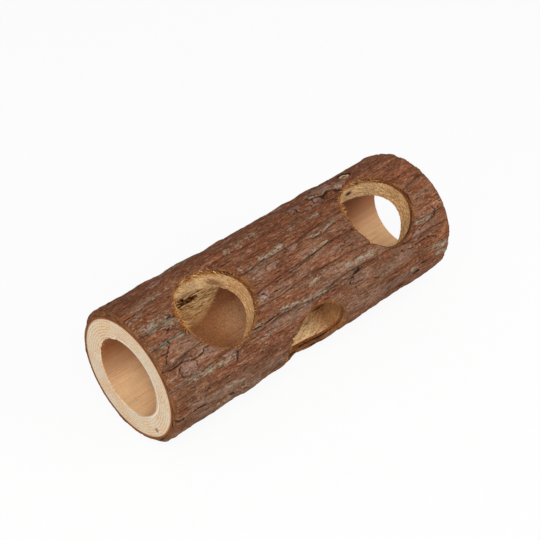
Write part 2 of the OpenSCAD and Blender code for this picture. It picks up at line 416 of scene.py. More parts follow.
# Marks on the bark: points along the log in mm and turn in degrees, half width in mm, strength
darkCracks = [
    ([(-99, 23.5), (-94.5, 25), (-88, 24), (-82, 26.7), (-76, 26), (-74.5, 23.5), (-70, 24)], 0.38, 1),
    ([(-76, 26), (-75.5, 31)], 0.4, 0.6),
    ([(-88.4, 4.8), (-89, 8), (-92, 12), (-94.5, 15), (-95.5, 19)], 0.38, 0.95),
    ([(-98, 5), (-91, 5.6), (-88, 6)], 0.4, 0.6),
    ([(-62, 32), (-58, 34), (-52, 33)], 0.45, 0.6),
    ([(-57.5, 40), (-59, 44), (-59.5, 48)], 0.6, 0.9),
    ([(-93, 44), (-86, 44), (-75, 46), (-60, 48)], 0.45, 0.5),
    ([(-78, 54), (-66, 55), (-60, 54.5), (-53, 55)], 0.5, 0.7),
    ([(-44, 54), (-42.5, 56)], 0.9, 0.7),
    ([(-99, 69), (-93.5, 68.7), (-89, 69.4), (-84.5, 70), (-77, 72)], 0.7, 1.05),
    ([(-41, 64), (-35, 62), (-30, 61)], 0.4, 0.5),
    ([(-92, -26), (-89, -27)], 0.5, 0.6),
    ([(-35, -12), (-30, -10), (-25, -12), (-17, -13)], 0.45, 0.75),
    ([(-36, 10), (-31, 12), (-30, 15)], 0.5, 0.8),
    ([(-25, 15), (-15, 17)], 0.4, 0.7),
    ([(-38, 22), (-38.5, 24)], 0.5, 0.8),
    ([(-46, 32), (-40, 33), (-30, 32), (-25, 31), (-18, 34), (-12, 35)], 0.5, 0.85),
    ([(-9, 37.5), (0, 38), (8, 37.5), (14, 37), (22, 37.5), (29, 36)], 0.45, 0.85),
    ([(29, 36.3), (23.5, 38), (20.7, 40.3), (19.4, 43)], 0.42, 1.05),
    ([(23.5, 46), (23.5, 50)], 0.6, 0.9),
    ([(15, 53), (27, 49)], 0.35, 0.4),
    ([(-22, 9), (-15, 8.5), (-8, 8), (2, 6.5), (8, 5), (14, 4), (19, 3)], 0.4, 0.75),
    ([(14, -6), (19, -5.5), (25, -7), (32, -8), (35, -5)], 0.45, 0.8),
    ([(20, 62), (25, 60), (30, 59)], 0.4, 0.7),
    ([(89.5, 23), (91.5, 28.5), (86, 32), (77.5, 33.2), (76.5, 35.5)], 0.36, 1),
    ([(88, 50), (83, 46), (78.5, 45.3), (67, 46), (59.5, 43)], 0.34, 0.95),
    ([(77, 70.5), (82.5, 69.5)], 0.8, 1),
    ([(72.5, 81), (77.5, 80)], 0.8, 1),
    ([(58, 81.5), (65, 86)], 0.7, 1),
    ([(-63, 82.5), (-57, 85.5), (-51.5, 87.5)], 0.7, 1),
    ([(-43, 80), (-34, 79), (-25, 79)], 0.6, 0.9),
    ([(32, -47), (33.5, -43), (37.5, -42), (41, -39.7), (45.5, -41.5), (48.5, -39), (52, -37), (56, -34)],
     0.7, 1),
    ([(-10, 39), (-10, 43)], 0.4, 0.6),
    ([(-30, 41), (-27, 41)], 0.4, 0.7),
    ([(32, -29), (42, -31)], 0.4, 0.5),
]
paleStreaks = [
    ([(-98, -23), (-90, -26)], 0.7, 0.9),
    ([(-90, -30), (-82, -33), (-73, -36)], 0.8, 0.45),
    ([(-94.5, -11), (-89.5, -10), (-84, -8.7), (-77, -6)], 2.2, 0.9),
    # this pale line is a painted highlight along the bark
    ([(-94, 5.3), (-86.5, 5.3), (-80, 5.7)], 0.75, 1.1),
    ([(-98, 5), (-95, 4.5)], 1.2, 0.5),
    ([(-77, 25), (-73, 23)], 0.8, 0.6),
    ([(-93, 21), (-90, 22)], 0.8, 0.5),
    ([(-88, 40), (-80, 40.5), (-76, 41), (-66, 42), (-60, 42)], 1.2, 0.75),
    ([(-97, 32), (-88, 31)], 1.8, 0.3),
    ([(-44, 31), (-38, 31.5)], 0.9, 0.7),
    ([(-26, 30.5), (-16, 32.5), (-10, 35), (-5, 36), (4, 36.5)], 0.8, 1),
    ([(-45, 42), (-34, 42)], 1, 0.5),
    ([(-33, -15), (-30, -14)], 1.2, 0.6),
    ([(-29, -11), (-22, -11)], 0.8, 0.8),
    ([(-20, -14), (-12, -14), (-4, -15)], 0.7, 0.9),
    ([(-29, -39), (-20, -39), (-14, -40), (-8, -41)], 1.6, 0.6),
    ([(-36, 15), (-31, 15.5)], 1.2, 0.6),
    ([(-20, 19), (-13, 20)], 0.9, 0.5),
    ([(-5, 24), (1, 24)], 0.8, 0.8),
    ([(-6, 17), (-1, 18)], 1.2, 0.4),
    ([(13, -8), (16, -7), (22, -7), (26, -9), (31, -10)], 0.7, 0.85),
    ([(-10, 7), (-4, 6.6)], 0.8, 0.6),
    ([(1, 4), (8, 3.5), (18, 2)], 0.7, 0.7),
    ([(21, 28), (28, 28.5), (34, 29), (40, 30)], 0.9, 1),
    ([(1, 22), (8, 21), (14, 24), (18, 25)], 0.7, 0.45),
    ([(18, 60), (22, 60), (28, 58)], 0.8, 0.6),
    ([(20, -39), (22, -40)], 1.1, 0.6),
    ([(21, -24), (26, -24)], 1, 0.8),
    ([(7, -24), (11, -23)], 0.9, 0.6),
    ([(34, -44), (38, -43.5), (41.5, -41.5), (45.5, -43.3), (49, -41), (53, -39), (57, -36)], 0.6, 0.7),
    ([(79, 27.7), (85.5, 27.7)], 1.5, 0.75),
    ([(85.5, 59), (90.5, 60.8), (97.5, 63.4)], 1.5, 0.85),
    ([(88.5, 69), (96.5, 71.8)], 1.2, 0.85),
    ([(68.5, 69.8), (72, 70.7)], 1.2, 0.8),
    ([(75.5, 28.5), (76.5, 27.4)], 1, 0.9),
    ([(-90.5, 58.3), (-86.5, 59.3), (-81.5, 60.5)], 1.6, 0.62),
    ([(-67.5, 66.6), (-62.5, 68), (-57.5, 69.4)], 1.5, 0.62),
    ([(-54, 81), (-49.5, 83), (-45, 84.3)], 1.4, 0.62),
    ([(38, 53), (48, 54)], 0.9, 0.45),
    ([(-48, 50), (-40, 48)], 0.9, 0.4),
    ([(-38, 73), (-28, 76)], 1.2, 0.45),
]
# Where the outer bark has flaked off, the rusty layer under it shows
rustyPatches = [
    ([(97, 43.5), (93.5, 48), (90, 51.3)], 1.6, 0.9),
    ([(86.5, 49.8), (86.5, 55)], 1.2, 0.8),
    ([(71.5, 58.2), (74.5, 59.3)], 1.2, 0.6),
    ([(90, 76), (95, 78.5)], 1.4, 0.7),
    ([(-82, 49.5), (-71.5, 49.4), (-62, 51.6), (-52.5, 55.7)], 0.7, 0.55),
]
# The far side and the underside carry marks of the same kind, from a fixed seed
farMarks = dict(
    seed=11, count=70, x=(-98, 70), turn=(84, 300), run=(8, 34), lean=(-3, 3), wander=(-0.8, 0.8),
    dark=((0.35, 0.6), (0.5, 0.95)), pale=((0.6, 1.3), (0.4, 0.9)), paleShift=-2,  # half width, strength
)
dice = random.Random(farMarks["seed"])
for n in range(farMarks["count"]):
    x, turn, run, lean = (dice.uniform(*farMarks[name]) for name in ("x", "turn", "run", "lean"))
    line = [(x + run * s / 3, turn + lean * s / 3 + dice.uniform(*farMarks["wander"])) for s in range(4)]
    if n % 2:
        darkCracks.append((line, *(dice.uniform(*span) for span in farMarks["dark"])))
    if n % 3:
        line = [(x, turn + farMarks["paleShift"]) for x, turn in line[:3]]
        paleStreaks.append((line, *(dice.uniform(*span) for span in farMarks["pale"])))


# How strongly each point of the bark carries the marks of one list, 0 to 1. Marks wobble, and come and go
def markShare(x, turn, marks, widen):
    share = np.zeros(len(x))
    wobble = 0.5 * np.sin(x * 1.9 + turn * 0.7) + 0.35 * np.sin(x * 4.3 - turn * 1.3)
    wobble += 0.3 * np.sin(turn * 2.9 + x * 0.8)
    fade = np.clip(0.95 + 0.3 * np.sin(x * 0.7 + turn * 0.4) + 0.2 * np.sin(x * 1.9 - turn), 0.5, 1)
    for line, half, strength in marks:
        half = half * widen
        for (x0, t0), (x1, t1) in zip(line, line[1:]):
            px, py = x - x0, turnGap(turn, t0) * barkDegree
            dx, dy = x1 - x0, (t1 - t0) * barkDegree
            s = unit((px * dx + py * dy) / (dx * dx + dy * dy))
            gap = np.hypot(px - s * dx, py - s * dy) + 0.3 * half * wobble
            share = np.maximum(share, strength * fade * unit(1.15 - gap / (1.7 * half)))
    return share


# Scabs and loose plates of the bark: place along the log in mm, turn in degrees, half length, half width and
# rise in mm
flakes = [
    (-0.5, -9, 3.4, 2.0, 0.5), (-18, -3.5, 3.2, 1.9, 0.4), (33, -35, 2.6, 2.2, 0.1),
    (37.5, -39, 3.0, 2.4, 0.2), (27, -35, 2.6, 1.6, 0.1), (36, -47.5, 3.5, 2.6, 0.25),
    (45, -48, 7.0, 3.8, 0.35), (55, -43, 5.0, 3.4, 0.2), (22, -44, 4.5, 2.0, 0.5),
    (-31, 13, 3.5, 2.2, 0.4), (-86, 30, 4.5, 4.0, 0.3), (-62, 38, 4.0, 2.2, 0.3),
    (74, 38, 5.0, 2.5, 0.3), (-70, -50, 5.0, 2.4, 0.5), (-20, -55, 4.0, 2.2, 0.5),
]


# How far each point is inside a flake, 0 to 1, how much that raises it in mm, and the groove round the flake
def flakeShare(x, turn):
    inside, rise, groove = np.zeros((3, len(x)))
    for x0, t0, halfLength, halfWidth, high in flakes:
        px, py = (x - x0) / halfLength, turnGap(turn, t0) * barkDegree / halfWidth
        angle = np.arctan2(py, px)
        away = np.hypot(px, py) + 0.12 * np.sin(3 * angle + x0) + 0.1 * np.sin(5 * angle + t0)
        away += 0.06 * np.sin(9 * angle)
        share = unit((1.1 - away) / 0.2)
        inside, rise = np.maximum(inside, share), np.maximum(rise, share * high)
        broken = unit(0.75 + 0.5 * np.sin(angle * 2 + x0))
        groove = np.maximum(groove, unit(1 - np.abs(away - 1.12) / 0.22) * broken)
    return inside, rise, groove


# Relief of the bark: fibres, lumps, plates with seams, cracks and worn edges, moved along the radius and kept
# under the crown. Sizes are in mm, pairs are length and width
relief = dict(
    depth=1.2, grain=(7, 1.1), lump=(15, 5), plate=(24, 7), seamDepth=0.5, crackDepth=0.7, furrowWear=0.5,
    endWear=0.8, rimWear=0.6, crown=37.1, voxel=0.45, rimWidth=1.7, endWidth=7, wornWidth=3,
)
barkRelief, given = newTree(
    "barkRelief", AxisHeight="Float", InnerRadius="Float", Crown="Float", Depth="Float", Grain="Vector",
    Lump="Vector", Plate="Vector", SeamDepth="Float", CrackDepth="Float", FurrowWear="Float", EndWear="Float",
    RimWear="Float", LeftStrip="Object", RightStrip="Object", Bark="Material",
)
spot = add("GeometryNodeInputPosition")
axisPoint = add("CombineXYZ", 0.0, 0.0, given["AxisHeight"])
centred, radial, radius = fromAxis(spot, axisPoint)
outward = add("VectorMath", radial, operation="NORMALIZE")
above = add("Math", radius, given["InnerRadius"], operation="SUBTRACT")
share = add("MapRange", above, 0.3 * mm, 1.5 * mm, interpolation_type="SMOOTHSTEP")
waves = {}
for name, detail in (("Grain", 4.0), ("Lump", 3.0)):
    place = add("VectorMath", centred, given[name], operation="DIVIDE")
    wave = add("TexNoise", Vector=place, Scale=1.0, Detail=detail, Roughness=0.6)
    waves[name] = add("MapRange", wave, 0.3, 0.7)
plateAt = add("VectorMath", centred, given["Plate"], operation="DIVIDE")
bend = add("TexNoise", Vector=plateAt, Scale=2.0, Detail=3.0).outputs["Color"]
plateAt = add("VectorMath", bend, (0.6, 0.6, 0.6), plateAt, operation="MULTIPLY_ADD")
plate = add("TexVoronoi", Vector=plateAt, Scale=1.0, feature="F1").outputs["Color"]
edge = add("TexVoronoi", Vector=plateAt, Scale=1.0, feature="DISTANCE_TO_EDGE")
seam = add("MapRange", edge, 0.0, 0.1, 0.8, 0.0)
patchy = add("MapRange", waves["Lump"], 0.5, 0.85)
seam = add("Math", seam, patchy, operation="MULTIPLY")
held = {name: add("GeometryNodeInputNamedAttribute", name, data_type="FLOAT")
        for name in ("crack", "rim", "worn", "rise")}
gaps = []
for side in ("LeftStrip", "RightStrip"):
    other = add("GeometryNodeObjectInfo", given[side]).outputs["Geometry"]
    gaps.append(add("GeometryNodeProximity", other, target_element="FACES").outputs["Distance"])
gap = add("Math", *gaps, operation="MINIMUM")
furrow = add("MapRange", gap, 0.2 * mm, 1.6 * mm, 1.0, 0.0, interpolation_type="SMOOTHSTEP")
fall = 0.6
for wave, amount in ((waves["Grain"], -0.3), (waves["Lump"], -0.5), (plate, -0.2)):
    fall = add("Math", wave, amount, fall, operation="MULTIPLY_ADD")
fall = add("Math", fall, given["Depth"], operation="MULTIPLY")
cracked = add("MapRange", held["crack"], 0.45, 0.9)
ragged = add("Math", furrow, waves["Grain"], operation="MULTIPLY")
for part, amount in (
    (seam, "SeamDepth"), (cracked, "CrackDepth"), (held["worn"], "EndWear"), (held["rim"], "RimWear"),
    (ragged, "FurrowWear"),
):
    fall = add("Math", part, given[amount], fall, operation="MULTIPLY_ADD")
# Never through the strip, a flake stands up, and nothing but a flake passes the crown
deepest = add("Math", above, 0.8, operation="MULTIPLY")
fall = add("Math", fall, deepest, operation="MINIMUM")
fall = add("Math", held["rise"], -mm, fall, operation="MULTIPLY_ADD")
highest = add("Math", radius, given["Crown"], operation="SUBTRACT")
highest = add("Math", held["rise"], -mm, highest, operation="MULTIPLY_ADD")
fall = add("Math", fall, highest, operation="MAXIMUM")
for factor in (share, -1.0):
    fall = add("Math", fall, factor, operation="MULTIPLY")
move = add("VectorMath", outward, fall, operation="SCALE")
shape = add("GeometryNodeSetPosition", given["Geometry"], Offset=move)
shape = add("GeometryNodeStoreNamedAttribute", shape, Name="seam", Value=seam, data_type="FLOAT")
closeTree(shape, given["Bark"])

reliefSizes = {}
for name, size in relief.items():
    sized = (size[0] * mm, size[1] * mm, size[1] * mm) if isinstance(size, tuple) else size * mm
    reliefSizes[name[0].upper() + name[1:]] = sized
for k in range(1, stripCount + 1):
    name, left, right = (f"bark_strip_{(k + step) % stripCount + 1:02d}" for step in (-1, -2, 0))
    strip, mesh = voxelCopy(f"barkStrip{k:02d}", name, dryBark, relief["voxel"])
    place = points(mesh)
    x, turn = place[:, 0] / mm, turnOf(place)
    flake, rise, groove = flakeShare(x, turn)
    edgeGap = np.full(len(x), np.inf)
    for where in doorways.values():
        middle, axis, _ = (np.array(v) for v in doorFrame(where))
        away = place - middle
        height = away @ axis
        reach = np.linalg.norm(away - height[:, None] * axis, axis=1) - log["doorR"]
        edgeGap = np.where(height > 0, np.minimum(edgeGap, reach), edgeGap)
    endGap = log["halfLength"] - np.abs(place[:, 0])
    rims = [unit(1 - edgeGap / (relief["rimWidth"] * mm)), unit(1.2 - endGap / mm),
            0.2 * unit(1 - endGap / (relief["endWidth"] * mm))]
    storeFloat(mesh, "crack", np.maximum(markShare(x, turn, darkCracks, 1.0), 0.85 * groove))
    storeFloat(mesh, "pale", markShare(x, turn, paleStreaks, 1.35))
    storeFloat(mesh, "rust", markShare(x, turn, rustyPatches, 1.2))
    storeFloat(mesh, "flake", 0.65 * flake)
    storeFloat(mesh, "rise", rise)
    storeFloat(mesh, "rim", np.maximum.reduce(rims))
    storeFloat(mesh, "worn", unit(1 - endGap / (relief["wornWidth"] * mm)) ** 2)
    runTree(strip, barkRelief, AxisHeight=log["axisHeight"], InnerRadius=log["innerR"], Bark=dryBark,
            LeftStrip=nodes[left], RightStrip=nodes[right], **reliefSizes)
    mesh = settle(strip)
    movePoints(mesh, np.clip(points(mesh), np.array(cadLow), np.array(cadHigh)))  # no wider than the solids
    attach(strip, "root")
    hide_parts(name)
print("bark strips:", stripCount)

# Sawn end grain: cream softwood cut across, with thin wavy growth rings, a pink blush, fine saw marks and one
# brown fleck. A painted highlight, a pale line, runs along the edge of the shallow step that the bit left on
# the near side of the mouth, and the step is painted a little darker as painted shade
sawn = dict(
    # the lip colour is the painted highlight along the step's edge
    cream="#dbc9af", blush="#dfc19d", ringLine="#ac7c55", edge="#9c6a42", lip="#f3e8d5", fleck="#84492f",
    pith=(0, 1.5, -1.2), ringWidth=1.5, waviness=0.8, waveSize=1.3, blushSize=11, poreSize=0.8,
    sawPitch=0.8, sawRun=18, sawTilt=0.5, stepWidth=1.8, stepDepth=0.5, stepTurn=25, stepShade=0.93,
    edgeWidth=(0.7, 0.1), paintedHighlightWidth=(0.2, 0.6),
    fleckAt=(-100, -20.3, -20.6), fleckSize=(1.7, 3.1), fleckRagged=2.4,
    rough=0.78, ior=1.45, shine=0.3, bump=(0.35, 0.12),
)
endGrain, spot = newMaterial("sawnEndGrain")
_, radial, away = fromAxis(spot, onLog(0, 0, 0))
fromPith = add("VectorMath", radial, Vector(sawn["pith"]) * mm, operation="DISTANCE")
wavy, blush = (add("TexNoise", Vector=spot, Scale=1 / (sawn[name] * mm), Detail=3.0)
               for name in ("waveSize", "blushSize"))
pore = add("TexNoise", Vector=spot, Scale=1 / (sawn["poreSize"] * mm), Detail=3.0, Roughness=0.7)
ringAt = add("Math", wavy, 2 * sawn["waviness"] * mm, fromPith, operation="MULTIPLY_ADD")
ringAt = add("Math", ringAt, sawn["ringWidth"] * mm, operation="DIVIDE")
rings = add("Math", ringAt, 0.5, operation="PINGPONG")
body = add("ValToRGB", blush, stops=[(0.42, sawn["cream"]), (0.6, sawn["blush"])])
lines = add("MapRange", rings, 0.25, 0.46, 0.0, 1.5)
broken = add("MapRange", pore, 0.35, 0.6, 1.0, 0.4)
for share in (blush, broken):
    lines = add("Math", lines, share, operation="MULTIPLY")
edgeFrom, edgeTo = (log["woodR"] - width * mm for width in sawn["edgeWidth"])
edgeShare = add("MapRange", away, edgeFrom, edgeTo, 0.0, 0.85)
outward = add("VectorMath", radial, operation="NORMALIZE")
nearSide = add("VectorMath", outward, outwardAt(sawn["stepTurn"]), operation="DOT_PRODUCT")
stepWide = add("MapRange", nearSide, 0.1, 0.67, 0.15, 1.0)
stepAt = add("Math", stepWide, sawn["stepWidth"] * mm, log["boreR"], operation="MULTIPLY_ADD")
lipGap = add("Math", away, stepAt, operation="SUBTRACT")
# The step's face is painted a little darker: painted shade
paintedStepShade = add("MapRange", lipGap, -sawn["stepDepth"] * mm, 0.0, sawn["stepShade"], 1.0)
lipGap = add("Math", lipGap, operation="ABSOLUTE")
paintedHighlightFrom, paintedHighlightTo = (width * mm for width in sawn["paintedHighlightWidth"])
# Painted highlight: a pale line along the step's edge, on the near side only
paintedHighlight = add("MapRange", lipGap, paintedHighlightFrom, paintedHighlightTo, 0.9, 0.0)
paintedHighlightFade = add("MapRange", nearSide, -0.1, 0.4)
paintedHighlight = add("Math", paintedHighlight, paintedHighlightFade, operation="MULTIPLY")
fleckAt = onLog(0, 0, 0) + Vector(sawn["fleckAt"]) * mm
fleckGap = add("VectorMath", spot, fleckAt, operation="DISTANCE")
fleckGap = add("Math", pore, sawn["fleckRagged"] * mm, fleckGap, operation="MULTIPLY_ADD")
fleckFrom, fleckTo = (size * mm for size in sawn["fleckSize"])
fleckShare = add("MapRange", fleckGap, fleckFrom, fleckTo, 0.9, 0.0)
poreTone = add("MapRange", pore, 0.3, 0.7, 0.78, 1.16)
for share, tone, blend in (
    (lines, colour(sawn["ringLine"]), "MIX"), (edgeShare, colour(sawn["edge"]), "MIX"),
    (1.0, paintedStepShade, "MULTIPLY"), (paintedHighlight, colour(sawn["lip"]), "MIX"),
    (fleckShare, colour(sawn["fleck"]), "MIX"), (1.0, poreTone, "MULTIPLY"),
):
    body = add("Mix", share, body, tone, data_type="RGBA", blend_type=blend)
sawScale = (1, 1 / (sawn["sawPitch"] * mm), 1 / (sawn["sawRun"] * mm))
sawAt = add("Mapping", spot, Rotation=(sawn["sawTilt"], 0, 0), Scale=sawScale)
sawMarks = add("TexNoise", Vector=sawAt, Scale=1.0, Detail=2.0)
height = add("Math", sawMarks, pore, operation="ADD")
closeMaterial(sawn, body, height)

# Bored long grain: tan wood, painted browner further inside as painted shade, with fine streaks along the log
# and faint rings from the auger
bored = dict(
    # the second, third and fourth colours are painted: shade deeper in the bore, shade on the far upper side,
    # light on the floor
    mouth="#d8af82", inside="#a26d44", browned="#905834", worn="#d3a678", streak="#83522c",
    torn="#f0b96f", tornDark="#6a3a18", tornPale="#ffe4ab", tornLow="#b57a45", insideReach=(86, 62),
    grain=(24, 0.6), band=(60, 2.2), tornFibre=(8, 1), broad=16, fuzz=0.9, augerPitch=2.2,
    farShadeTurn=-72, brownReach=(-5, 24), farShadeRagged=8, floorLightTurn=163, wornReach=(13, 20), wornRun=(-34, -18),
    rough=0.75, ior=1.45, shine=0.3, bump=(0.5, 0.15),
)
boredWood, spot = newMaterial("boredLongGrain")
grain, band = (grainPattern(spot, bored[name], 4.0, 0.6) for name in ("grain", "band"))
broad, fuzz = (add("TexNoise", Vector=spot, Scale=1 / (bored[name] * mm), Detail=2.0)
               for name in ("broad", "fuzz"))
along = add("SeparateXYZ", spot)
centred = add("VectorMath", spot, onLog(0, 0, 0), operation="SUBTRACT")
fromMiddle = add("Math", along, operation="ABSOLUTE")
# The far upper side is painted browner as painted shade, and the floor beside the side doorway is painted
# paler as painted light
farSide = add("VectorMath", centred, outwardAt(bored["farShadeTurn"]), operation="DOT_PRODUCT")
farSide = add("Math", broad, bored["farShadeRagged"] * mm, farSide, operation="MULTIPLY_ADD")
lowSide = add("VectorMath", centred, outwardAt(bored["floorLightTurn"]), operation="DOT_PRODUCT")
reach = {}
for name, source, most, curve in (
    ("insideReach", fromMiddle, 1.0, "SMOOTHSTEP"), ("brownReach", farSide, 1.0, "SMOOTHSTEP"),
    ("wornReach", lowSide, 0.6, "LINEAR"), ("wornRun", along, 1.0, "SMOOTHSTEP"),
):
    low, high = bored[name]
    reach[name] = add("MapRange", source, low * mm, high * mm, 0.0, most, interpolation_type=curve)
# Painted light: a paler stripe along the bore's floor
floorLightShare = add("Math", reach["wornReach"], reach["wornRun"], operation="MULTIPLY")
darkShare = add("ValToRGB", grain, stops=[(0.3, 0.45), (0.45, 0.0)])
body = colour(bored["mouth"])
# These mixes paint shade deeper in the bore and on its far upper side, and light on its floor
for share, tone in (
    (reach["insideReach"], "inside"), (reach["brownReach"], "browned"), (floorLightShare, "worn"),
    (darkShare, "streak"),
):
    body = add("Mix", share, body, colour(bored[tone]), data_type="RGBA")
broadTone = add("MapRange", broad, 0.35, 0.65, 0.9, 1.08)
fuzzLow = add("MapRange", reach["insideReach"], 0.0, 1.0, 0.97, 0.74)
fuzzHigh = add("MapRange", reach["insideReach"], 0.0, 1.0, 1.03, 1.26)
fuzzTone = add("MapRange", fuzz, 0.3, 0.7, fuzzLow, fuzzHigh)
bandTone = add("MapRange", band, 0.35, 0.65, 0.93, 1.06)
for tone in (broadTone, fuzzTone, bandTone):
    body = add("Mix", 1.0, body, tone, data_type="RGBA", blend_type="MULTIPLY")
body = add("Mix", 0.15, body, fuzz.outputs["Color"], data_type="RGBA", blend_type="OVERLAY")
torn, tornLow = (add("Attribute", attribute_name=name).outputs["Fac"] for name in ("torn", "tornLow"))
fibre = grainPattern(spot, bored["tornFibre"], 4.0, 0.65)
tornTone = add("ValToRGB", fibre,
               stops=[(0.42, bored["tornDark"]), (0.47, bored["torn"]), (0.52, bored["tornPale"])])
tornTone = add("Mix", tornLow, tornTone, colour(bored["tornLow"]), data_type="RGBA")
body = add("Mix", torn, body, tornTone, data_type="RGBA")
auger = add("Math", along, 2 * math.pi / (bored["augerPitch"] * mm), operation="MULTIPLY")
auger = add("Math", auger, operation="SINE")
height = add("Math", auger, 0.12, grain, operation="MULTIPLY_ADD")
height = add("Math", fibre, torn, height, operation="MULTIPLY_ADD")
closeMaterial(bored, body, height)

# Drilled cross grain: fibres chopped and crushed round the hole, straw to brown, rough. One side of each
# doorway is painted paler as painted light, and one side of the side doorway darker as painted shade
drilled = dict(
    straw="#c69764", brown="#80502d", pale="#ecca99", lifted="#ffdda8", stain="#7d4524", chopped="#a5713f",
    scorched="#7d4a20", ringLength=4, ringPitch=0.8, pore=0.9, broad=9,
    rough=0.85, ior=1.45, shine=0.25, bump=(0.8, 0.25),
)
doorWall, spot = newMaterial("drilledCrossGrain")
mark = {name: add("Attribute", attribute_name=name).outputs["Fac"]
        for name in ("drillDepth", "lifted", "stain", "scorched")}
deep = add("Math", mark["drillDepth"], drilled["ringPitch"], operation="DIVIDE")
deep = add("CombineXYZ", 0.0, 0.0, deep)
cutAt = add("VectorMath", spot, [1 / (drilled["ringLength"] * mm)] * 3, deep, operation="MULTIPLY_ADD")
fibre = add("TexNoise", Vector=cutAt, Scale=1.0, Detail=4.0, Roughness=0.7)
pore = add("TexNoise", Vector=spot, Scale=1 / (drilled["pore"] * mm), Detail=2.0)
broad = add("TexNoise", Vector=spot, Scale=1 / (drilled["broad"] * mm), Detail=3.0)
fibre = add("Mix", 0.3, fibre, pore)
body = add("ValToRGB", fibre,
           stops=[(0.32, drilled["brown"]), (0.48, drilled["straw"]), (0.66, drilled["pale"])])
# Painted light: this paler tone goes on one side of each doorway wall
paintedLightTone = add("ValToRGB", fibre,
                 stops=[(0.37, drilled["chopped"]), (0.44, drilled["pale"]), (0.52, drilled["lifted"])])
stain = mark["stain"]
for wave in (pore, broad):
    stain = add("Math", wave, 1.5, stain, operation="MULTIPLY_ADD")
stain = add("MapRange", stain, 1.85, 2.35, 0.0, 0.75)
broadTone = add("MapRange", broad, 0.35, 0.65, 0.86, 1.12)
poreTone = add("MapRange", pore, 0.3, 0.7, 0.88, 1.1)
# The darker side of the side doorway is painted shade
for share, tone, blend in (
    (mark["lifted"], paintedLightTone, "MIX"), (stain, colour(drilled["stain"]), "MIX"),
    (mark["scorched"], colour(drilled["scorched"]), "MIX"), (1.0, broadTone, "MULTIPLY"),
    (1.0, poreTone, "MULTIPLY"), (0.12, pore.outputs["Color"], "OVERLAY"),
):
    body = add("Mix", share, body, tone, data_type="RGBA", blend_type=blend)
height = add("Math", fibre, pore, operation="ADD")
closeMaterial(drilled, body, height)

# Split: an old drying crack, painted dark brown inside as painted shade
splitFacts = dict(splitShade="#4a2c17", wood="#8f5d36", grain=2, rough=0.95, ior=1.45, shine=0.1)
splitShadeWood, spot = newMaterial("splitPaintedShade")
splitShade = add("TexNoise", Vector=spot, Scale=1 / (splitFacts["grain"] * mm), Detail=3.0)
body = add("ValToRGB", splitShade, stops=[(0.4, splitFacts["splitShade"]), (0.65, splitFacts["wood"])])
closeMaterial(splitFacts, body)

# Bast, the inner bark: rusty fibrous layer that shows as a thin line round the ends and the doorways
bastFacts = dict(
    rust="#7d4526", dark="#4f2a17", straw="#a86d3d", fibre=(9, 0.5),
    rough=0.88, ior=1.4, shine=0.2, bump=(0.6, 0.2),
)
bast, spot = newMaterial("bast")
fibre = grainPattern(spot, bastFacts["fibre"], 4.0, 0.65)
body = add("ValToRGB", fibre,
           stops=[(0.32, bastFacts["dark"]), (0.5, bastFacts["rust"]), (0.7, bastFacts["straw"])])
closeMaterial(bastFacts, body, fibre)
innerBark = nodes["inner_bark"]
innerBark.data.materials.clear()
innerBark.data.materials.append(bast)


# Perlin roughness at each point, after the point is divided by the grain's own size
def roughness(place, size):
    spots = place.reshape(-1, 3) / np.array(size)
    return np.array([noise.fractal(Vector(p), 0.7, 2.0, 3) for p in spots]).reshape(place.shape[:-1])


# Torn patch of the bore, 0 to 1, where the bit broke through on the far wall, and how far its lower part is
# browned. Degrees run round the far side from the top doorways, lengths along the log in mm
tornWall = dict(
    front=-78, frontFade=12, rear=-22, rearFade=(0.8, 6), slant=13.5, curve=1.6,
    topFade=6, low=118, lowRun=35, bottom=156, bottomFade=8,
)


def tornShare(x, turn, top):
    down = -turnGap(turn, 0)
    low = unit((down - tornWall["low"]) / tornWall["lowRun"])
    sharp, soft = tornWall["rearFade"]
    inside = tornWall["rear"] - tornWall["slant"] * low ** tornWall["curve"] - x
    inside = unit(inside / (sharp + soft * low)) * unit((x - tornWall["front"]) / tornWall["frontFade"])
    inside = inside * unit((down - top) / tornWall["topFade"])
    return inside * unit((tornWall["bottom"] - down) / tornWall["bottomFade"]), low


# Wood tube: a plain rod cut by a rough bore, three rough doorways and the split in the far wall
wood = dict(
    boreRuns=((-102, -98, 0.25), (-98, -18, 0.65), (-18, 98, 1.5), (98, 102.1, 0.5)),  # from, to and step
    doorRun=(3, 34.5, 0.5), doorEnds=(0, 42), smoothTo=48,
    boreSides=216, doorSides=208, rodSides=192, splitRings=25, splitSides=20,
    boreRough=0.08, tornRough=0.6, tornRise=0.35, tornTop=100, paleTop=76, doorRough=0.45, rearChamfer=0.5,
    boreGrain=(22, 0.9, 0.9), tornGrain=(6, 1.1, 1.1), doorGrain=(5, 0.9, 0.9), mouthGrain=(1.5, 1.0, 1.0),
    mouthRagged=1.3, raggedTurn=-78, raggedFrom=-97.8, raggedRun=2.2,
    chip=0.8, chipTurn=(250, 286), chipRun=(-60, -34), chipFade=(4, 5),
    splitFrom=-53, splitTo=-37.5, splitTurn=-106, splitHalf=2.8, splitDepth=6,
    # Painted light on the doorway walls:
    liftedAt=dict(front=(102, 0.95), side=(262, 0.45), rear=(102, 0.6)),  # degrees round the doorway, share
    stainAt=(41, 20.5), stainSize=(5.5, 3.8), scorchedAt=15,
)
halfLength, boreR = log["halfLength"] / mm, log["boreR"] / mm
doorR, axisHeight = log["doorR"] / mm, log["axisHeight"] / mm
along = np.concatenate([np.arange(*run) for run in wood["boreRuns"]])
along, turn = np.meshgrid(along, ringTurns(wood["boreSides"]), indexing="ij")
angle = np.radians(turn + log["roll"])
bore = np.stack([along, -boreR * np.sin(angle), boreR * np.cos(angle)], -1)
torn, _ = tornShare(along, turn, wood["tornTop"])
chipped = 1  # the lip above the split
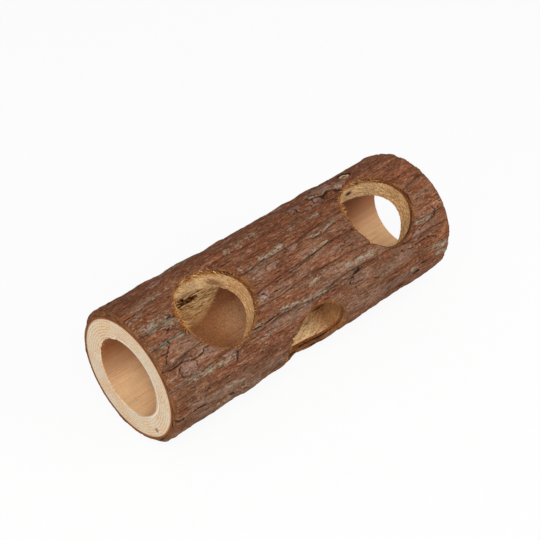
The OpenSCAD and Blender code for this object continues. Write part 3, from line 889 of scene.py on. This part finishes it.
for value, (low, high), fade in zip((turn, along), (wood["chipTurn"], wood["chipRun"]), wood["chipFade"]):
    chipped = chipped * unit((value - low) / fade) * unit((high - value) / fade)
past = np.abs(along) - halfLength
stepWide = np.clip(1.5 * np.cos(np.radians(turn - sawn["stepTurn"])), 0.15, 1)
stepWide = stepWide * sawn["stepWidth"] / sawn["stepDepth"]
frontStep, rearStep = stepWide * unit(past + sawn["stepDepth"]), np.clip(past + wood["rearChamfer"], 0, 2)
reach = boreR + np.where(along < 0, frontStep, rearStep)
reach += wood["boreRough"] * roughness(bore, wood["boreGrain"])
reach += wood["chip"] * chipped
reach += torn * (wood["tornRough"] * roughness(bore + 40, wood["tornGrain"]) - wood["tornRise"])
ragged = unit((wood["raggedFrom"] - along) / wood["raggedRun"])
ragged *= unit(np.cos(np.radians(turn - wood["raggedTurn"])) * 3 - 1.8)
ragged *= np.clip(0.25 + 1.5 * roughness(bore + 90, wood["mouthGrain"]), 0, 1.2)
reach += wood["mouthRagged"] * ragged
rings = np.stack([along, -reach * np.sin(angle), reach * np.cos(angle) + axisHeight], -1)
cutters = [skin("boreCutter", rings * mm, boredWood)]
height = np.concatenate([wood["doorEnds"][:1], np.arange(*wood["doorRun"]), wood["doorEnds"][1:]])
for name, where in doorways.items():
    middle, axis, side = (np.array(v) for v in doorFrame(where))
    deep, angle = np.meshgrid(height, np.radians(ringTurns(wood["doorSides"])), indexing="ij")
    spoke = np.cos(angle)[..., None] * np.array(alongLog) + np.sin(angle)[..., None] * side
    core = middle / mm + deep[..., None] * axis
    reach = doorR + wood["doorRough"] * (0.35 + roughness(core + doorR * spoke, wood["doorGrain"]))
    cutters.append(skin(name + "Cutter", (core + reach[..., None] * spoke) * mm, doorWall))
share, angle = np.meshgrid(
    np.linspace(0, 1, wood["splitRings"]), np.radians(ringTurns(wood["splitSides"])), indexing="ij")
half = wood["splitHalf"] * (0.45 + 0.55 * np.sin(np.pi * np.clip(share, 0.02, 0.98)) ** 0.5)
half *= 1 + 0.15 * np.sin(9 * share + 1)
flap = 0.1 + 0.9 * unit((0.52 - share) / 0.12)  # hangs over the rear part
sideways = np.where(np.sin(angle) > 0, half * flap, half) * np.sin(angle)
out = boreR + 0.3 + wood["splitDepth"] * np.cos(angle) * np.clip(np.sin(np.pi * share), 0.15, 1) ** 0.4
tilt = math.radians(wood["splitTurn"] + log["roll"])
rings = np.stack([
    wood["splitFrom"] + (wood["splitTo"] - wood["splitFrom"]) * share,
    -out * math.sin(tilt) - sideways * math.cos(tilt),
    out * math.cos(tilt) - sideways * math.sin(tilt) + axisHeight], -1)
cutters.append(skin("splitCutter", rings * mm, splitShadeWood))
ends, angle = np.meshgrid(
    (-log["halfLength"], log["halfLength"]), np.radians(ringTurns(wood["rodSides"])), indexing="ij")
rod = np.stack([ends, -log["woodR"] * np.sin(angle), log["woodR"] * np.cos(angle) + log["axisHeight"]], -1)
woodTube = skin("woodTube", rod, endGrain)
for cutter in cutters:
    cut = woodTube.modifiers.new(cutter.name, "BOOLEAN")
    cut.operation = "DIFFERENCE"
    cut.solver = "MANIFOLD"
    cut.material_mode = "TRANSFER"
    cut.object = cutter
mesh = settle(woodTube)
for cutter in cutters:
    bpy.data.objects.remove(cutter)
# The step and the chamfer round the mouths are cut across the grain, as the ends are
middles, slots = np.empty(len(mesh.polygons) * 3, np.float32), np.empty(len(mesh.polygons), np.int32)
mesh.polygons.foreach_get("center", middles)
mesh.polygons.foreach_get("material_index", slots)
finish = list(mesh.materials)
lip = (np.abs(middles[::3]) > log["halfLength"] - sawn["stepDepth"] * mm) & (slots == finish.index(boredWood))
slots[lip] = finish.index(endGrain)
mesh.polygons.foreach_set("material_index", slots)
place = points(mesh)
torn, low = tornShare(place[:, 0] / mm, turnOf(place), wood["paleTop"])
storeFloat(mesh, "torn", torn)
storeFloat(mesh, "tornLow", 0.75 * low)
# Depth along the nearest doorway's axis, the side of each doorway painted paler as painted light, a brown
# stain in the front doorway and one side of the side doorway painted darker as painted shade
nearest = np.full(len(place), np.inf)
marks = {name: np.zeros(len(place)) for name in ("drillDepth", "scorched", "lifted", "stain")}
for name, where in doorways.items():
    middle, axis, side = (np.array(v) for v in doorFrame(where))
    away = place - middle
    deep = away @ axis
    angle = np.arctan2(away @ side, away[:, 0])
    gap = np.where(deep > 0, np.abs(np.hypot(away @ side, away[:, 0]) - log["doorR"]), 1)
    closer = gap < nearest
    nearest = np.where(closer, gap, nearest)
    paintedLightTurn, paintedLightShare = wood["liftedAt"][name]
    liftedAt, scorchedAt = math.radians(paintedLightTurn), math.radians(wood["scorchedAt"])
    aside = (angle - math.radians(wood["stainAt"][0])) * doorR / wood["stainSize"][0]
    below = (deep / mm - wood["stainAt"][1]) / wood["stainSize"][1]
    found = dict(
        drillDepth=deep / mm,
        scorched=np.clip((np.cos(angle - scorchedAt) - 0.3) / 0.6, 0, 0.75) * (name == "side"),
        lifted=paintedLightShare * unit((np.cos(angle - liftedAt) - 0.15) / 0.6),
        stain=np.exp(-aside ** 2 - below ** 2) * (name == "front"),
    )
    marks = {kind: np.where(closer, found[kind], values) for kind, values in marks.items()}
for name, values in marks.items():
    storeFloat(mesh, name, values)
mesh.shade_smooth()
mesh.set_sharp_from_angle(angle=math.radians(wood["smoothTo"]))
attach(woodTube, "root")
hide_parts("wood_tube")
print("wood tube:", len(mesh.polygons), "faces,", [m.name for m in mesh.materials])

# Knot of the side branch: hard, ringed, pale round a dark heart, with a lip of bark grown round it
knotFacts = dict(
    heart="#2a1810", brown="#76543a", cream="#d2b691", ring="#4a3120", x=64, turn=-50, voxel=0.25,
    ringWidth=0.75, blur=1.6, waviness=0.9, crackAt=3.6, crackHalf=0.6,
    rough=0.8, ior=1.45, shine=0.3, bump=(0.6, 0.1),
)
knotWood, spot = newMaterial("weatheredKnot")
fromHeart = add("Attribute", attribute_name="fromHeart").outputs["Fac"]
blur = add("TexNoise", Vector=spot, Scale=1 / (knotFacts["blur"] * mm), Detail=3.0)
ringAt = add("Math", blur, knotFacts["waviness"], fromHeart, operation="MULTIPLY_ADD")
wave = add("Math", ringAt, 2 * math.pi / knotFacts["ringWidth"], operation="MULTIPLY")
wave = add("Math", wave, operation="SINE")
quarter = add("Math", ringAt, 0.25, operation="MULTIPLY")
body = add("ValToRGB", quarter, stops=[(0.2, knotFacts["heart"]), (0.4, knotFacts["brown"]),
                                       (0.68, knotFacts["cream"]), (0.98, knotFacts["ring"])])
ringTone = add("MapRange", wave, -1.0, 1.0, 0.72, 1.1)
body = add("Mix", 1.0, body, ringTone, data_type="RGBA", blend_type="MULTIPLY")
closeMaterial(knotFacts, body, wave)
heart = np.array(onLog(knotFacts["x"] * mm, knotFacts["turn"], 0))
spine = np.array(outwardAt(knotFacts["turn"]))
for name, node, finish, slot in (
    ("knotCore", "knot", knotWood, "knot_wood"), ("knotLip", "knot_collar", dryBark, "outer_bark"),
):
    piece, mesh = voxelCopy(name, node, finish, knotFacts["voxel"])
    place = points(mesh)
    away = place - heart
    height = away @ spine
    flat = np.linalg.norm(away - height[:, None] * spine, axis=1) / mm
    near = unit((height - log["innerR"]) / (1.5 * mm))  # only the part above the wood is worn
    if node == "knot":
        fall = 0.3 * roughness(place / mm, (1.2, 1.2, 1.2)) + 0.5 * np.exp(-(flat / 0.9) ** 2) - 0.3
    else:
        fall = 0.3 + 0.4 * np.clip(roughness(place / mm, (1.6, 1.6, 1.6)), -0.6, 1)
        crackGap = np.abs(flat - knotFacts["crackAt"])
        storeFloat(mesh, "crack", 0.95 * unit(1.4 - crackGap / knotFacts["crackHalf"]))
    movePoints(mesh, place - (near * fall * mm)[:, None] * spine)
    storeFloat(mesh, "fromHeart", flat)
    mesh.shade_smooth()
    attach(piece, "root")
    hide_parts(node)
print("knot set")

# Frayed fibre: split bast and wood threads, matt, straw to orange brown.
# Fringe hangs from the edge of a doorway, lint lies on the bark beside it
frayFacts = dict(
    straw="#e3bd82", orange="#b06d33", dark="#6a3a1c", rough=0.85, ior=1.4, shine=0.2,
    seed=5, thin=0.06, slack=0.35, frayed=dict(front=1.2, side=0.5, rear=0.8),
    farSide=(40, 190), nearShare=0.4,  # most is on the far side, where the bit came out
    fringe=dict(count=900, layer=(32.0, 35.4), past=(-0.1, 0.3), spread=1.0, out=(0.2, -0.7), up=(-0.1, 0.5),
                length=(1.2, 4.0), look=(0.35, 0.25, 1.0)),  # look is bend, darkest and palest tone
    lint=dict(count=700, layer=(35.6, 36.3), past=(0.2, 0.9), spread=0.7, out=(0.1, 1.0), up=(0.05, 0.3),
              length=(1.0, 3.4), look=(0.3, 0.0, 0.7)),
    burr=dict(count=160, angle=(45, 171), past=0.2, down=(0.6, 1.2), inward=(0.1, 0.6), spread=0.5,
              length=(1.0, 2.6), look=(0.3, 0.0, 0.6)),
    splinters=dict(count=40, inset=(0.7, 1.6), turn=(-75, 22), past=0.25, along=(0.1, 0.6), spread=0.5,
                   length=(0.6, 1.6), look=(0.1, 0.2, 1.0)),
    threads=dict(count=380, x=(-64, -22), turn=(-154, -112), past=-0.3, inward=(0.02, 0.45), spread=0.2,
                 edge=3, most=0.45, length=(1.4, 4.2), look=(0.18, 0.55, 1.0)),
    hanging=dict(x=-46.4, turn=-101, past=0.3, lean=(0.1, -0.2, -0.95), length=2.2, look=(0.1, 1.0, 1.0)),
)
frayedFibre, _ = newMaterial("frayedFibre")
tone = add("Attribute", attribute_name="tone").outputs["Fac"]
body = add("ValToRGB", tone,
           stops=[(0.0, frayFacts["dark"]), (0.45, frayFacts["orange"]), (1.0, frayFacts["straw"])])
closeMaterial(frayFacts, body)

frayTree, given = newTree(
    "frayedFibres", Thinness="Float", Bend="Float", Seed="Int", ToneLow="Float", ToneHigh="Float",
    Fibre="Material",
)
bendEnd = add("CombineXYZ", given["Bend"], 0.0, 1.0)
stem = add("GeometryNodeCurvePrimitiveBezierSegment", 4, (0, 0, 0), (0, 0, 0.4), (0.1, 0.06, 0.8), bendEnd)
along = add("GeometryNodeSplineParameter")
taper = add("MapRange", along, 0.0, 1.0, 1.0, 0.25)
stem = add("GeometryNodeSetCurveRadius", stem, Radius=taper)
ring = add("GeometryNodeCurvePrimitiveCircle", 3, Radius=given["Thinness"])
stem = add("GeometryNodeCurveToMesh", stem, ring, taper, True)
lean = add("GeometryNodeInputNamedAttribute", "lean", data_type="FLOAT_VECTOR")
size = add("GeometryNodeInputNamedAttribute", "size", data_type="FLOAT")
stand = add("FunctionNodeAlignRotationToVector", Vector=lean, axis="Z")
spin = add("FunctionNodeRandomValue", 0.0, 2 * math.pi, Seed=given["Seed"], data_type="FLOAT")
spin = add("FunctionNodeAxisAngleToRotation", (0, 0, 1), spin)
stand = add("FunctionNodeRotateRotation", stand, spin, rotation_space="LOCAL")
strands = add("GeometryNodeInstanceOnPoints", given["Geometry"], Instance=stem, Rotation=stand, Scale=size)
tone = add("FunctionNodeRandomValue", given["ToneLow"], given["ToneHigh"],
           Seed=given["Seed"], data_type="FLOAT")
strands = add("GeometryNodeStoreNamedAttribute", strands,
              Name="tone", Value=tone, data_type="FLOAT", domain="INSTANCE")
closeTree(strands, given["Fibre"])


# Grows fibres from a list of (root, lean, length), apart from those whose bent tip would leave the log's box
def growFibres(name, roots, slot, bend, toneLow, toneHigh):
    kept = []
    for root, lean, length in roots:
        slack = frayFacts["slack"] * length
        tip = root + lean * length
        if all(cadLow[i] < tip[i] - slack and tip[i] + slack < cadHigh[i] for i in range(3)):
            kept.append((root, lean, length))
    starts, leans, sizes = zip(*kept)
    mesh = bpy.data.meshes.new(name)
    mesh.from_pydata(starts, [], [])
    leanValues = mesh.attributes.new("lean", "FLOAT_VECTOR", "POINT").data
    leanValues.foreach_set("vector", np.array(leans, np.float32).ravel())
    storeFloat(mesh, "size", sizes)
    piece = newObject(name, mesh, frayedFibre)
    runTree(piece, frayTree, Thinness=frayFacts["thin"], Bend=bend, Seed=frayFacts["seed"], ToneLow=toneLow,
            ToneHigh=toneHigh, Fibre=frayedFibre)
    settle(piece)
    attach(piece, "root")
    print(name, len(kept))


dice = random.Random(frayFacts["seed"])
low, high = frayFacts["farSide"]
for name, where in doorways.items():
    middle, axis, side = doorFrame(where)
    rows = dict(fringe=[], lint=[])
    while any(len(rows[kind]) < frayFacts[kind]["count"] for kind in rows):
        t = dice.uniform(0, 2 * math.pi)
        thick = 1.0 if low < math.degrees(t) < high else frayFacts["nearShare"]
        if dice.random() > thick:
            continue
        spoke = math.cos(t) * alongLog + math.sin(t) * side
        tangent = -math.sin(t) * alongLog + math.cos(t) * side
        kind = "fringe" if len(rows["fringe"]) < frayFacts["fringe"]["count"] else "lint"
        facts = frayFacts[kind]
        layer, wide = dice.uniform(*facts["layer"]) * mm, log["doorR"] + dice.uniform(*facts["past"]) * mm
        lean = tangent * dice.gauss(0, facts["spread"]) + spoke * dice.uniform(*facts["out"])
        lean += axis * dice.uniform(*facts["up"])
        length = dice.uniform(*facts["length"]) * (thick * frayFacts["frayed"][name]) * mm
        up = math.sqrt(layer ** 2 - (wide * math.sin(t)) ** 2)
        rows[kind].append((middle + axis * up + spoke * wide, lean.normalized(), length))
    growFibres(name + "DoorwayFringe", rows["fringe"], "inner_bark", *frayFacts["fringe"]["look"])
    growFibres(name + "DoorwayLint", rows["lint"], "inner_bark", *frayFacts["lint"]["look"])
# Fuzz where the bit broke through into the bore at the side doorway
middle, axis, side = doorFrame(doorways["side"])
facts = frayFacts["burr"]
roots = []
for n in range(facts["count"]):
    t = math.radians(dice.uniform(*facts["angle"]))
    spoke = math.cos(t) * alongLog + math.sin(t) * side
    past = facts["past"] * mm
    up = math.sqrt(max((log["boreR"] + past) ** 2 - (log["doorR"] * math.sin(t)) ** 2, 0))
    lean = -axis * dice.uniform(*facts["down"]) - spoke * dice.uniform(*facts["inward"])
    lean += alongLog * dice.gauss(0, facts["spread"])
    root = middle + axis * up + spoke * (log["doorR"] + past)
    roots.append((root, lean.normalized(), dice.uniform(*facts["length"]) * mm))
growFibres("sideDoorwayBurr", roots, "wood", *facts["look"])
# Splinters round the far side of the front mouth
facts = frayFacts["splinters"]
roots = []
for n in range(facts["count"]):
    turn = dice.gauss(*facts["turn"])
    x = dice.uniform(*facts["inset"]) * mm - log["halfLength"]
    root = onLog(x, turn, log["boreR"] + facts["past"] * mm)
    lean = alongLog * dice.uniform(*facts["along"]) - outwardAt(turn)
    lean += Vector((0, dice.gauss(0, facts["spread"]), dice.gauss(0, facts["spread"])))
    roots.append((root, lean.normalized(), dice.uniform(*facts["length"]) * mm))
growFibres("mouthSplinters", roots, "wood", *facts["look"])
# Threads along the torn wall, thickest at its edge
facts = frayFacts["threads"]
roots = []
while len(roots) < facts["count"]:
    x, turn = dice.uniform(*facts["x"]), dice.uniform(*facts["turn"])
    share, _ = tornShare(np.array([x, x + facts["edge"]]), np.array([turn, turn]), wood["tornTop"])
    if share[0] < 0.9 or (share[1] > 0.9 and dice.random() > facts["most"]):
        continue
    root = onLog(x * mm, turn, log["boreR"] + facts["past"] * mm)
    lean = alongLog * dice.choice((-1, 1, 1)) - outwardAt(turn) * dice.uniform(*facts["inward"])
    lean += Vector((0, dice.gauss(0, facts["spread"]), dice.gauss(0, facts["spread"])))
    roots.append((root, lean.normalized(), dice.uniform(*facts["length"]) * mm))
growFibres("tornThreads", roots, "wood", *facts["look"])
# One more hangs in the split
facts = frayFacts["hanging"]
root = onLog(facts["x"] * mm, facts["turn"], log["boreR"] + facts["past"] * mm)
roots = [(root, Vector(facts["lean"]).normalized(), facts["length"] * mm)]
growFibres("splitThread", roots, "wood", *facts["look"])

lowest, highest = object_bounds()
